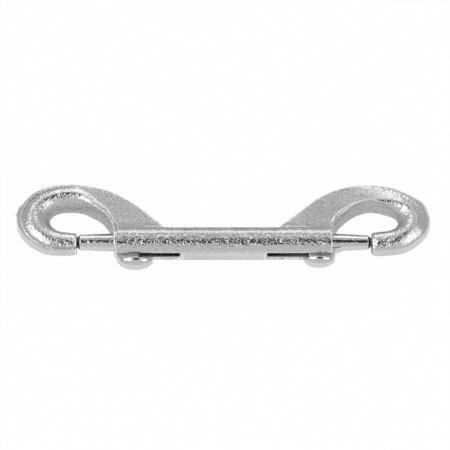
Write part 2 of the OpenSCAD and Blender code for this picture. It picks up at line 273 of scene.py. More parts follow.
def key_lines(side):
    """Key lines of one hook in millimetres, on the side of positive X."""
    reach = eye_len[side] + bar_w[side]
    lines = []
    for k in UPPER[side]:
        out = foot[side] if k[2] < 0 else reach
        lines.append([barrel_half + k[0] * eye_len[side], k[1] * eye_top[side],
                      barrel_half + k[2] * out, k[3] * arch_top[side]] + k[4:])
    for k in LOWER[side]:
        lines.append([barrel_half + nose_at[side] + k[0] * (eye_len[side] - nose_at[side]),
                      k[1] * nose_w / 2,
                      barrel_half + nose_at[side] + k[2] * (reach - nose_at[side]),
                      k[3] * nose_w / 2] + k[4:])
    return np.array(lines, float)


def smooth_lines(keys):
    """The key lines with evenly spaced lines between them."""
    lines = []
    last = len(keys) - 1
    for i in range(last):
        for j in range(LINE_STEPS):
            lines.append(between(keys[max(i - 1, 0)], keys[i], keys[i + 1],
                                 keys[min(i + 2, last)], j / LINE_STEPS))
    lines.append(keys[last])
    return lines


def half_section(line, width, facing):
    """Upper half of a bar's section from the eye to the outside: way across the bar and height.
    The crest is sharper where the outside faces the arch (facing 1) than where it faces the front
    (facing -1), and a narrow rounding at the eye is squarer."""
    half = web_thick / 2
    inner_power = EYE_POWER + EYE_POWER_BY_WAY * facing
    inner_power *= LEAST_POWER + (1 - LEAST_POWER) * min(line[CREST_WAY] / FULL_POWER_WAY, 1)
    slope_power = SLOPE_POWER - SLOPE_POWER_BY_WAY * facing
    crest, eye_wall, crease, outer_wall = (v * half for v in line[CREST_HEIGHT:CREST_WAY])
    inner, outer = line[CREST_WAY] * width, line[CREASE_WAY] * width
    start = math.radians(line[ROUND_START])
    points = [(0, eye_wall * i / WALL_POINTS) for i in range(WALL_POINTS)]
    for i in range(INNER_POINTS):
        a = math.pi / 2 * i / (INNER_POINTS - 1)
        points.append((inner * (1 - max(math.cos(a), 0) ** inner_power),
                       eye_wall + (crest - eye_wall) * math.sin(a) ** inner_power))
    for i in range(1, SLOPE_POINTS):
        t = i / SLOPE_POINTS
        points.append((inner + (width - outer - inner) * t,
                       crest + (crease - crest) * t ** slope_power))
    for i in range(OUTER_POINTS):
        a = start + (math.pi / 2 - start) * i / (OUTER_POINTS - 1)
        points.append((width - outer * (1 - math.sin(a)) / (1 - math.sin(start)),
                       outer_wall + (crease - outer_wall) * math.cos(a) / math.cos(start)))
    points += [(width, outer_wall * (1 - i / WALL_POINTS)) for i in range(1, WALL_POINTS)]
    points.append((width, 0))
    return points


def hook(name, side):
    rings = []
    for line in smooth_lines(key_lines(side)):
        start = Vector((line[0], line[1]))
        span = Vector((line[2], line[3])) - start
        width = span.length
        way = span / width
        half = half_section(line, width, way.y)
        ring = [(start.x + way.x * s, start.y + way.y * s, z) for s, z in half]
        ring += [(x, y, -z) for x, y, z in reversed(ring[1:-1])]
        rings.append(ring)
    sides = len(rings[0])
    verts = [(side * x, y, z) for ring in rings for x, y, z in ring]
    faces = [tuple(range(sides)), tuple(range(len(verts) - 1, len(verts) - sides - 1, -1))]
    for r in range(len(rings) - 1):
        for i in range(sides):
            j = (i + 1) % sides
            a, b = r * sides, (r + 1) * sides
            faces.append((a + i, a + j, b + j, b + i))
    return outward(new_object(name, verts, faces))


# Casting

def barrel():
    obj = outward(revolve("casting", [
        (-barrel_half - left_end_reach, barrel_r - barrel_bevel),
        (-barrel_half - left_end_reach + barrel_bevel, barrel_r),
        (barrel_half - barrel_bevel, barrel_r), (barrel_half, barrel_r - barrel_bevel)]))
    end = barrel_half - barrel_bevel
    flat = back_thick / 2
    back = outward(prism("back", [(-end, -flat), (end, -flat), (end, flat), (-end, flat)],
                         0, back_rise))
    combine(obj, back, "UNION")
    top = [(-end, -shoulder_z), (end, -shoulder_z), (end, shoulder_z), (-end, shoulder_z)]
    foot_of_step = [(-end, -flat), (end, -flat), (end, flat), (-end, flat)]
    combine(obj, outward(prism("shoulder", top, 0, shoulder_rise)), "UNION")
    step = prism("step", top, shoulder_rise, shoulder_rise + shoulder_step, foot_of_step)
    combine(obj, outward(step), "UNION")
    return obj


def slot_outline(side, spread):
    """Outline of a slot with rounded inner corners, wider by the spread on every side."""
    half = slot_w / 2 + spread
    inner = barrel_half - slot_len[side] - spread
    corner = [math.pi / 2 * i / CORNER_STEPS for i in range(CORNER_STEPS + 1)]
    r = slot_corner
    outline = [(inner + r * (1 - math.sin(a)), half - r * (1 - math.cos(a))) for a in corner]
    outline += [(x, -z) for x, z in reversed(outline)]
    outline += [(barrel_half + cutter_overrun, -half), (barrel_half + cutter_overrun, half)]
    return [(side * x, z) for x, z in outline]


def bolt_way(side):
    """Blind bore for one bolt, the slot below it and the slot's bevelled mouth."""
    bore = revolve("bore", [(bore_wall / 2, bore_d / 2),
                            (barrel_half + cutter_overrun, bore_d / 2)])
    bore.data.transform(Matrix.Translation((0, bore_lift, 0)))
    bore.data.transform(Matrix.Diagonal((side, 1, 1, 1)))
    slot = prism("slot", slot_outline(side, 0), -barrel_d, 0)
    spread = (slot_mouth_w - slot_w) / 2
    surface = -math.sqrt(barrel_r ** 2 - slot_mouth_w ** 2 / 4)
    mouth = prism("mouth", slot_outline(side, 2 * spread), surface - slot_bevel,
                  surface + slot_bevel, slot_outline(side, 0))
    return outward(bore), outward(slot), outward(mouth)


def casting():
    obj = barrel()
    for side in (-1, 1):
        combine(obj, hook("hook", side), "UNION")
    for side in (-1, 1):
        for cutter in bolt_way(side):
            combine(obj, cutter, "DIFFERENCE")
    return obj


# Surface work on a dense mesh

# Shares of the way to the neighbours' mean in each round of smoothing, inward and back out
SMOOTH_IN = 0.5
SMOOTH_OUT = 0.52
EDGE_ROUNDS = 3
WAVE_SHIFT = (7.31, 3.17, 5.77)


def points_of(obj):
    co = np.empty(len(obj.data.vertices) * 3)
    obj.data.vertices.foreach_get("co", co)
    return co.reshape(-1, 3)


def normals_of(obj):
    no = np.empty(len(obj.data.vertices) * 3)
    obj.data.vertices.foreach_get("normal", no)
    return no.reshape(-1, 3)


def set_points(obj, co):
    obj.data.vertices.foreach_set("co", co.ravel())
    obj.data.update()


def edges_of(obj):
    e = np.empty(len(obj.data.edges) * 2, int)
    obj.data.edges.foreach_get("vertices", e)
    return e.reshape(-1, 2)


def neighbour_mean(values, edges):
    """Mean of each vertex's neighbours, for one column of values or several."""
    if values.ndim == 2:
        return np.stack([neighbour_mean(column, edges) for column in values.T], 1)
    a, b, n = edges[:, 0], edges[:, 1], len(values)
    total = np.bincount(a, values[b], n) + np.bincount(b, values[a], n)
    return total / (np.bincount(a, minlength=n) + np.bincount(b, minlength=n))


def relax(obj, rounds):
    """Smooths the voxels' steps without shrinking the solid."""
    edges = edges_of(obj)
    co = points_of(obj)
    for _ in range(rounds):
        co += SMOOTH_IN * (neighbour_mean(co, edges) - co)
        co -= SMOOTH_OUT * (neighbour_mean(co, edges) - co)
    co += SMOOTH_IN * (neighbour_mean(co, edges) - co)
    set_points(obj, co)


def soften(obj, rounds, weight):
    """Rounds inner and outer corners where the weight is above 0."""
    edges = edges_of(obj)
    co = points_of(obj)
    for _ in range(rounds):
        co += (SMOOTH_IN * weight)[:, None] * (neighbour_mean(co, edges) - co)
    set_points(obj, co)


def thin_out(obj, most):
    """Brings the mesh down to a number of triangles, with its masks kept."""
    before = points_of(obj)
    masks = {}
    for layer in obj.data.attributes:
        if layer.data_type == "FLOAT" and layer.domain == "POINT":
            masks[layer.name] = np.empty(len(before), np.float32)
            layer.data.foreach_get("value", masks[layer.name])
    triangles = sum(len(face.vertices) - 2 for face in obj.data.polygons)
    if triangles <= most:
        return
    mod = obj.modifiers.new("thin_out", "DECIMATE")
    mod.ratio = most / triangles
    apply_modifiers(obj)
    tree = kdtree.KDTree(len(before))
    for i, p in enumerate(before):
        tree.insert(p, i)
    tree.balance()
    nearest = [tree.find(p)[1] for p in points_of(obj)]
    for name, values in masks.items():
        if name in obj.data.attributes:
            obj.data.attributes.remove(obj.data.attributes[name])
        set_mask(obj, name, values[nearest])


def waves(co, size, seed):
    """Smooth noise between -1 and 1 with waves of the given size in millimetres."""
    shift = Vector([seed * way for way in WAVE_SHIFT])
    return np.array([noise.noise(Vector(p) / size + shift) for p in co])


def smooth_step(x, low, high):
    """0 below the first value, 1 above the second."""
    t = np.clip((x - low) / (high - low), 0, 1)
    return t * t * (3 - 2 * t)


def fall(x, low, high):
    """1 below the first value, 0 above the second."""
    return 1 - smooth_step(x, low, high)


def set_mask(obj, name, values):
    layer = obj.data.attributes.new(name, "FLOAT", "POINT")
    layer.data.foreach_set("value", np.clip(values, 0, 1).astype(np.float32))


def edge_mask(obj, low, high):
    """1 on convex edges, 0 on flat and hollow surfaces."""
    co, edges = points_of(obj), edges_of(obj)
    bend = ((co - neighbour_mean(co, edges)) * normals_of(obj)).sum(1)
    for _ in range(EDGE_ROUNDS):
        bend = neighbour_mean(bend, edges)
    return smooth_step(bend, low, high)


def finish_mesh(obj):
    obj.data.transform(Matrix.Scale(MM, 4))
    obj.data.polygons.foreach_set("use_smooth", [True] * len(obj.data.polygons))
    obj.data.update()


def bar_line(side, share_of, height_at):
    """Points along one hook's bar at a share of its width, on both of its faces, with the place of
    their height in the key lines."""
    points = []
    for line in smooth_lines(key_lines(side)):
        start = Vector((line[0], line[1]))
        span = Vector((line[2], line[3])) - start
        at = start + span * share_of(line)
        height = line[height_at] * web_thick / 2
        points += [(side * at.x, at.y, height), (side * at.x, at.y, -height)]
    return points


def outer_crease(side):
    """Points along the crease where a bar's slope meets its outer rounding."""
    return bar_line(side, lambda line: 1 - line[CREASE_WAY], CREASE_HEIGHT)


def crest(side):
    """Points along the crest, where the rounding at the eye ends."""
    return bar_line(side, lambda line: line[CREST_WAY], CREST_HEIGHT)


def distance_to(co, points, within):
    """Distance of each vertex to a run of points, no more than the given distance."""
    tree = kdtree.KDTree(len(points))
    for i, p in enumerate(points):
        tree.insert(p, i)
    tree.balance()
    box = np.array(points)
    near = ((co > box.min(0) - within) & (co < box.max(0) + within)).all(1)
    far = np.full(len(co), float(within))
    far[near] = [min(tree.find(p)[2], within) for p in co[near]]
    return far


# Features of the skins, in millimetres. A pair holds the two values between which a mask rises or
# falls: places for X, Y and Z, parts of a normal where it says FACING, and otherwise distances from
# a line or an end. WAVES hold a size and a seed. LIP_GAPS are heights of such waves, BEND is how far
# a point stands out from its neighbours, and the KEEPS_UNWORN pair holds values of the mask of
# painted shade at the webs' feet. CALM, ROUGH, DARK, PRESS, SHARE and UNWORN are shares.

# Insides, which get painted shade: how far they reach past the walls of the bores and slots
INSIDE_FADE = (0.05, 0.25)
SLOT_END_FADE = (0.3, 0.1)
SLOT_FLOOR_Y = (-3.6, -3.2)
SLOT_ROOF_Y = (0, 0.5)
DEEP_FADE = (0.8, 0.3)

# Walls of the eyes
EYE_FACING = (0.45, 0.8)
EYE_FADE_X = 0.5
EYE_FADE_Y = (2.5, 3.5)

# Noses and the lower bars, how much rougher or calmer they are, and the painted shade on their ends
NOSE_X = (40.5, 41.5)
NOSE_END_X = (48, 51)
NOSE_FRONT_Y = (-0.4, 1.0)
LOWER_BAR_Y = (5, 8)
LOWER_BAR_CALM = 0.45
NOSE_FRONT_ROUGH = 0.75
NOSE_FACING = (0.6, 0.85)
NOSE_FACE_RISE = 0.4
NOSE_FACE_X = (41, 41.3)
NOSE_FACE_END_X = (42.3, 42.6)
NOSE_FACE_DARK = 0.9

# Rubbed lines on the barrel's shoulders and on the lips of its slots: wear and painted highlight
SHOULDER_LINE = (0.2, 0.4)
SHOULDER_LINE_Z = (4.3, 4.5)
RUBBED_FADE_X = 0.5
LIP_WAY = 0.35
LIP_LINE = (0.2, 0.5)
LIP_LINE_Y = (-3.2, -2.8)
LIP_GAPS = (-0.5, 0.1)
LIP_WAVES = (0.8, 8)

# Gate stub, dent, facet and the drawn-in part of the barrel's left end
STUB_X = (56.8, 57.6)
STUB_MIDDLE_Y = 9.4
STUB_HALF_Y = (1.3, 1.9)
STUB_HALF_Z = (2.2, 2.9)
STUB_LIFT = 0.2
STUB_BREAK = 0.45
STUB_WAVES = (0.55, 6)
DENT_AT = (30.8, 5.6, 4.1)
DENT_RADIUS = 0.8
DENT_DEPTH = 0.3
FACET_AT = (58.35, 8.8, 0)
FACET_FACING = (1, 0.16, 0)
FACET_PRESS = 0.9
LEFT_END_FADE_X = 0.6
LEFT_END_REACH_X = 1
LEFT_END_Y = (1.5, 3.5)
LEFT_END_DRAW = 0.55

# Foot of each web, lifted to meet the barrel's flat
FOOT_X = (15, 17)
FOOT_END_X = (29.5, 30.7)
FOOT_Z = (3.8, 4.0)
FOOT_END_Z = (4.2, 4.3)
FOOT_Y = (3.05, 3.35)
FOOT_END_Y = (3.35, 6.5)

# Flat faces of the webs; painted shade on the strip along the barrel's back and below each web
FLAT_FACING = (0.96, 0.99)
FLAT_Y = (2.0, 2.4)
FLAT_Z = (3.5, 3.8)
FLAT_END_Z = (4.22, 4.32)
BACK_Z = (3.6, 3.9)
STRIP_Y = (1.85, 2.0)
STRIP_END_X = (16, 18)
FOOT_SHADE_Y = (2.0, 2.3)
FOOT_SHADE_END_Y = (3.4, 5.6)
FOOT_SHADE_FADE_X = 0.3
FOOT_SHADE_KEEPS_UNWORN = (0, 0.5)
STRIP_UNWORN = 0.9

# Darkness of the painted shade in the groove along the left hook's outer crease, on the strip and
# below each web
GROOVE_DARK = 0.6
STRIP_DARK = 0.35
FOOT_SHADE_DARK = 0.22

# Groove, and the worn lines along the left web's edge and the right eye's edge, painted highlights
GROOVE_DEPTH = 0.2
GROOVE_HALF = 0.26
EDGE_REACH = 1.0
EDGE_CLEAR = (0.9, 1.0)
EDGE_LINE = (0.12, 0.3)
LEFT_EDGE_X = (-44, -41)
RIGHT_EDGE_X = (42, 44)
HOOK_EDGE_Y = (4, 6)
CASTING_BEND = (0.003, 0.008)

# Depths of the casting's skin and what calms them
SWELL_DEPTH = 0.03
SWELL_WAVES = (2.8, 3)
PEBBLE_DEPTH = 0.06
PEBBLE_WAVES = (0.95, 1)
HOOK_PEBBLE_DROP = 0.025
HOOK_FADE_X = 2
NOSE_PEBBLE_GAIN = 0.045
GRAIN_DEPTH = 0.058
GRAIN_WAVES = (0.52, 2)
WALL_FACING = (0.4, 0.75)
WALL_Y = (2, 4)
WALL_CALM = 0.7
FLAT_CALM = 0.82
WORN_CALM = 0.5

# Bolts: the relief of their skins, and the places of the stretched tip, the fillet at the stem, the
# end of the painted shade on the shank behind it and the painted shade on the tip's end
BOLT_RELIEF = {-1: 0.04, 1: 0.022}
BOLT_WAVES = (0.9, 4)
BOLT_FINE_WAVES = (0.5, 5)
BOLT_FINE_SHARE = 0.4
BOLT_BEND = (0.002, 0.008)
BORE_CALM = 0.6
BORE_FADE_X = 1
TIP_STRETCH = (1.6, 0.8)
TIP_FACE = (0.6, 0.3)
TIP_FACING = (0.5, 0.9)
TIP_DARK = 0.9
FILLET_Y = (2.4, 3.2)
SHANK_END = 24.3
SHANK_FADE = 0.2

# Rounds of smoothing of the casting, of the bolts and of each bolt's fillet
BODY_RELAX = 2
BOLT_RELAX = 3
FILLET_ROUNDS = 16


def inside_mask(co):
    """1 in the bores and slots, where shade is painted, 0 on the outer surfaces."""
    x, y, z = np.abs(co[:, 0]), co[:, 1], np.abs(co[:, 2])
    near, far = INSIDE_FADE
    bore = fall(np.hypot(y - bore_lift, z), bore_d / 2 + near, bore_d / 2 + far)
    slot = fall(z, slot_w / 2 + near, slot_w / 2 + far)
    inner = barrel_half - slot_len[-1]
    slot *= smooth_step(x, inner - SLOT_END_FADE[0], inner - SLOT_END_FADE[1])
    slot *= smooth_step(y, *SLOT_FLOOR_Y) * fall(y, *SLOT_ROOF_Y)
    return np.maximum(bore, slot)


def eye_walls(co, no):
    """1 on the walls that face the middle of an eye, 0 elsewhere."""
    masks = []
    for side in (-1, 1):
        middle = np.array((side * (barrel_half + eye_len[side] / 2), eye_top[side] / 2))
        to_middle = middle - co[:, :2]
        to_middle /= np.linalg.norm(to_middle, axis=1)[:, None]
        facing = smooth_step((to_middle * no[:, :2]).sum(1), *EYE_FACING)
        masks.append(facing * smooth_step(side * co[:, 0], barrel_half, barrel_half + EYE_FADE_X)
                     * smooth_step(co[:, 1], *EYE_FADE_Y))
    return np.maximum(*masks)


def nose_fronts(co):
    """1 on the front halves of the noses."""
    x, y = abs(co[:, 0]), co[:, 1]
    return smooth_step(x, *NOSE_X) * fall(x, *NOSE_END_X) * fall(y, *NOSE_FRONT_Y)


def nose_faces(co, no):
    """1 on the ends of the noses, which face the bolts and get painted shade."""
    x = abs(co[:, 0])
    face = smooth_step(-np.sign(co[:, 0]) * no[:, 0], *NOSE_FACING)
    face *= co[:, 1] < nose_w / 2 + NOSE_FACE_RISE
    return face * smooth_step(x, *NOSE_FACE_X) * fall(x, *NOSE_FACE_END_X)


def roughness_of_bars(co):
    """Share of the skin's relief: most on the noses' fronts, least on their backs and where the
    bars turn below the eyes."""
    low = smooth_step(abs(co[:, 0]), *NOSE_X) * fall(co[:, 1], *LOWER_BAR_Y)
    return 1 - LOWER_BAR_CALM * low + NOSE_FRONT_ROUGH * nose_fronts(co)


def rubbed_highlight_lines(co):
    """1 on the barrel's shoulder edges and, in broken lines, on the lips of its slots: rubbed lines
    that are partly wear and partly painted highlight.
    """
    x, y, z = abs(co[:, 0]), co[:, 1], abs(co[:, 2])
    on_barrel = fall(x, barrel_half - RUBBED_FADE_X, barrel_half)
    shoulder = fall(abs(y - shoulder_rise), *SHOULDER_LINE)
    shoulder *= smooth_step(z, *SHOULDER_LINE_Z) * on_barrel
    out = np.maximum(z - slot_w / 2, barrel_half - slot_len[-1] - x)
    lip = fall(abs(out - LIP_WAY), *LIP_LINE) * fall(y, *LIP_LINE_Y) * on_barrel
    return np.maximum(shoulder, lip * smooth_step(waves(co, *LIP_WAVES), *LIP_GAPS))


def worn_highlight_line(worn_and_lit, where, far):
    """Leaves one narrow worn line, a painted highlight, close to a run of points that lie at the
    distances far.
    """
    worn_and_lit = worn_and_lit * (1 - where * fall(far, *EDGE_CLEAR))
    return np.maximum(worn_and_lit, where * fall(far, *EDGE_LINE))


def gate_stub(co, no):
    """Roughly broken stub of the casting gate on the left hook's outer end."""
    place = smooth_step(-co[:, 0], *STUB_X) * fall(abs(co[:, 1] - STUB_MIDDLE_Y), *STUB_HALF_Y)
    place *= fall(abs(co[:, 2]), *STUB_HALF_Z)
    rough = place > 0
    lift = np.zeros(len(co))
    lift[rough] = place[rough] * (STUB_LIFT + STUB_BREAK * waves(co[rough], *STUB_WAVES))
    return co + no * lift[:, None]


def dent(co, no):
    """Presses a small hollow into the right web's face."""
    far = np.linalg.norm(co - np.array(DENT_AT), axis=1)
    return co - no * (DENT_DEPTH * fall(far, 0, DENT_RADIUS))[:, None]


def facet(co):
    """Presses what stands beyond the facet at the right hook's end down to it."""
    n = np.array(FACET_FACING, float)
    n /= np.linalg.norm(n)
    beyond = (co - np.array(FACET_AT)) @ n
    return co - np.outer(np.maximum(beyond, 0) * FACET_PRESS, n)


def draw_in_left_end(co):
    """Draws in the lower part of the barrel's left end."""
    end = smooth_step(-co[:, 0], barrel_half - LEFT_END_FADE_X, barrel_half)
    end *= co[:, 0] > -barrel_half - LEFT_END_REACH_X
    co[:, 0] += LEFT_END_DRAW * end * smooth_step(-co[:, 1], *LEFT_END_Y)
    return co


def web_lift(x, y, z):
    """1 at the foot of each web, 0 where the web and the barrel stay as they are."""
    lift = smooth_step(x, *FOOT_X) * fall(x, *FOOT_END_X)
    lift *= smooth_step(z, *FOOT_Z) * fall(z, *FOOT_END_Z)
    return lift * smooth_step(y, *FOOT_Y) * fall(y, *FOOT_END_Y)


def cast_relief(co, no, flat, worn_and_lit):
    """Height of the cast skin: long swells, pebbles and grains. Flat faces, walls and worn edges
    are calmer."""
    hooks = smooth_step(abs(co[:, 0]), barrel_half, barrel_half + HOOK_FADE_X)
    coarse = PEBBLE_DEPTH - HOOK_PEBBLE_DROP * hooks + NOSE_PEBBLE_GAIN * nose_fronts(co)
    skin = coarse * waves(co, *PEBBLE_WAVES) + GRAIN_DEPTH * waves(co, *GRAIN_WAVES)
    wall = fall(np.abs(no[:, 2]), *WALL_FACING) * smooth_step(co[:, 1], *WALL_Y)
    skin *= roughness_of_bars(co) * (1 - WALL_CALM * wall)
    skin *= (1 - FLAT_CALM * flat) * (1 - WORN_CALM * worn_and_lit)
    return SWELL_DEPTH * waves(co, *SWELL_WAVES) + skin


def dress_casting(obj):
    """Cast skin: the webs' faces and the eyes' walls stay calm, the barrel and the bars are pebbly.
    The left hook has a fine groove along its outer crease. Edges and two lines along the eyes are
    light with wear and painted highlight. The insides, the noses' ends, the groove, the barrel's
    back and the webs' feet get painted shade."""
    remesh(obj, BODY_VOXEL)
    relax(obj, BODY_RELAX)
    co, no = points_of(obj), normals_of(obj)
    x, y, z = abs(co[:, 0]), co[:, 1], abs(co[:, 2])
    co[:, 2] += np.sign(co[:, 2]) * (back_thick - web_thick) / 2 * web_lift(x, y, z)

    eye_wall = eye_walls(co, no)
    flat = smooth_step(np.abs(no[:, 2]), *FLAT_FACING) * smooth_step(y, *FLAT_Y)
    flat *= smooth_step(z, *FLAT_Z) * fall(z, *FLAT_END_Z)
    flat = np.maximum(neighbour_mean(flat, edges_of(obj)), eye_wall)
    # Strip along the barrel's back and line at each web's foot, which get painted shade
    strip = smooth_step(y, *STRIP_Y) * fall(x, *STRIP_END_X) * smooth_step(z, *BACK_Z)
    foot_shade = smooth_step(x, *FOOT_X) * fall(x, barrel_half - FOOT_SHADE_FADE_X, barrel_half)
    foot_shade *= smooth_step(y, *FOOT_SHADE_Y) * fall(y, *FOOT_SHADE_END_Y) * smooth_step(z, *BACK_Z)

    to_crease = distance_to(co, outer_crease(-1), EDGE_REACH)
    to_crest = distance_to(co, crest(1), EDGE_REACH)
    left_web_edge = smooth_step(co[:, 0], *LEFT_EDGE_X) * smooth_step(y, *HOOK_EDGE_Y)
    right_eye_edge = fall(co[:, 0], *RIGHT_EDGE_X) * smooth_step(y, *HOOK_EDGE_Y)
    # The groove is cut in and darkened with painted shade
    shaded_groove = np.exp(-(to_crease / GROOVE_HALF) ** 2) * (1 - left_web_edge)
    # Worn edges and lines, made lighter: partly wear, partly painted highlight
    worn_and_lit = np.maximum(edge_mask(obj, *CASTING_BEND), rubbed_highlight_lines(co))
    worn_and_lit = worn_highlight_line(worn_and_lit, left_web_edge, to_crease)
    worn_and_lit = worn_highlight_line(worn_and_lit, right_eye_edge, to_crest)

    shaded_inside = inside_mask(co)
    relief = cast_relief(co, no, flat, worn_and_lit) * (1 - shaded_inside)
    co = co + no * (relief - GROOVE_DEPTH * shaded_groove)[:, None]
    co = facet(draw_in_left_end(gate_stub(dent(co, no), no)))
    set_points(obj, co)

    deep = fall(abs(co[:, 0]), barrel_half - DEEP_FADE[0], barrel_half - DEEP_FADE[1])
    unworn = (1 - shaded_groove) * (1 - STRIP_UNWORN * strip) * fall(foot_shade, *FOOT_SHADE_KEEPS_UNWORN)
    darker = np.maximum(STRIP_DARK * strip, FOOT_SHADE_DARK * foot_shade)
    set_mask(obj, "flat_face", flat)
    # Wear and painted highlight on the edges
    set_mask(obj, "worn_and_lit_edge", worn_and_lit * unworn)
    # Painted shade in the bores, the slots and on the noses' ends
    set_mask(obj, "shaded_inside", np.maximum(shaded_inside * deep, NOSE_FACE_DARK * nose_faces(co, no)))
    set_mask(obj, "eye_wall", eye_wall)
    # Painted shade in the groove, on the back strip and at the webs' feet
    set_mask(obj, "shaded_groove", np.maximum(GROOVE_DARK * shaded_groove, darker))
    thin_out(obj, BODY_TRIANGLES)
    finish_mesh(obj)


def dress_bolt(obj, side):
    """Smoother skin than the casting's. The stem runs into the knob in a soft fillet, the tip all
    but touches the nose, and the shank behind the stem and the tip's end are dark with painted
    shade."""
    remesh(obj, BOLT_VOXEL)
    relax(obj, BOLT_RELAX)
    co = points_of(obj)
    tip = barrel_half + nose_at[side] - tip_gap
    stretch = smooth_step(side * co[:, 0], tip - TIP_STRETCH[0], tip - TIP_STRETCH[1])
    co[:, 0] += side * tip_reach * stretch
    set_points(obj, co)
    soften(obj, FILLET_ROUNDS, smooth_step(-co[:, 1], *FILLET_Y))
    co, no = points_of(obj), normals_of(obj)
    worn_and_lit = edge_mask(obj, *BOLT_BEND)
    relief = waves(co, *BOLT_WAVES) + BOLT_FINE_SHARE * waves(co, *BOLT_FINE_WAVES)
    relief *= 1 - BORE_CALM * fall(side * co[:, 0], barrel_half - BORE_FADE_X, barrel_half)
    set_points(obj, co + no * (BOLT_RELIEF[side] * relief)[:, None])
    # Wear and painted highlight on the bolt's edges
    set_mask(obj, "worn_and_lit_edge", worn_and_lit)
    # Painted shade on the shank behind the stem and on the tip's end
    shank = fall(side * co[:, 0], SHANK_END - SHANK_FADE, SHANK_END + SHANK_FADE)
    shank *= smooth_step(co[:, 1], *SLOT_FLOOR_Y)
    tip_face = smooth_step(side * co[:, 0], tip - TIP_FACE[0], tip - TIP_FACE[1])
    tip_face *= smooth_step(side * no[:, 0], *TIP_FACING)
    set_mask(obj, "shaded_inside", np.maximum(shank, TIP_DARK * tip_face))
    finish_mesh(obj)


# Materials

# Sizes in millimetres and detail of the pebbles, the grains and the light and dark flecks in the
# plated skins, and of the clouds that vary their roughness and shade
PEBBLE_NOISE = (0.5, 1.0)
GRAIN_NOISE = (0.33, 1.5)
FLECK_NOISE = (0.42, 1.0)
CLOUD_NOISE = (6.0, 3.0)
NOISE_MIDDLE = 0.5

# What the masks take from the pebbles and from the whole relief
FLAT_PEBBLE_LOSS = 0.75
WORN_RELIEF_LOSS = 0.6

# What the clouds and the masks add to the roughness
CLOUD_ROUGHNESS = 0.10
INSIDE_ROUGHNESS = 0.25
WORN_ROUGHNESS = 0.12
EYE_WALL_ROUGHNESS = 0.32

# What the clouds, the flecks and the masks do to the shade, and wear and painted highlight to the
# metal
# The worn edges' shade is partly painted highlight, and DARK_LOSS is painted shade
CLOUD_SHADE = 0.08
FLECK_SHADE = 0.25
FLECK_SHADE_ON_FLATS = 0.5
WORN_AND_HIGHLIGHT_SHADE = 0.34
DARK_LOSS = 0.8
BLUE_SHARE = 0.995
WORN_AND_HIGHLIGHT_METAL_LOSS = 0.25


class Nodes:
    """Short calls for building a node tree."""

    def __init__(self, tree):
        self.tree = tree
        tree.nodes.clear()

    def add(self, kind, inputs=None, **settings):
        node = self.tree.nodes.new(kind)
        for name, value in settings.items():
            setattr(node, name, value)
        for name, value in (inputs or {}).items():
            socket = node.inputs[name]
            if isinstance(value, bpy.types.NodeSocket):
                self.tree.links.new(value, socket)
            else:
                socket.default_value = value
        return node

    def math(self, operation, *values):
        node = self.add("ShaderNodeMath", operation=operation)
        for i, value in enumerate(values):
            if isinstance(value, bpy.types.NodeSocket):
                self.tree.links.new(value, node.inputs[i])
            else:
                node.inputs[i].default_value = value
        return node.outputs[0]

    def plus(self, value, other, share):
        """A value plus a share of another."""
        return self.math("ADD", value, self.math("MULTIPLY", other, share))

    def less(self, mask, share):
        """1, less a share of a mask."""
        return self.math("SUBTRACT", 1.0, self.math("MULTIPLY", mask, share))

    def ramp(self, value, from_min, from_max, to_min=0.0, to_max=1.0):
        node = self.add("ShaderNodeMapRange", {
            "Value": value, "From Min": from_min, "From Max": from_max,
            "To Min": to_min, "To Max": to_max}, interpolation_type="SMOOTHSTEP")
        return node.outputs["Result"]

    def noise(self, vector, size, detail):
        """Noise with grains of the given size in millimetres."""
        node = self.add("ShaderNodeTexNoise", {"Vector": vector, "Scale": 1 / (size * MM),
                                               "Detail": detail})
        return node.outputs[0]

    def mask(self, name):
        return self.add("ShaderNodeAttribute", attribute_name=name).outputs["Fac"]


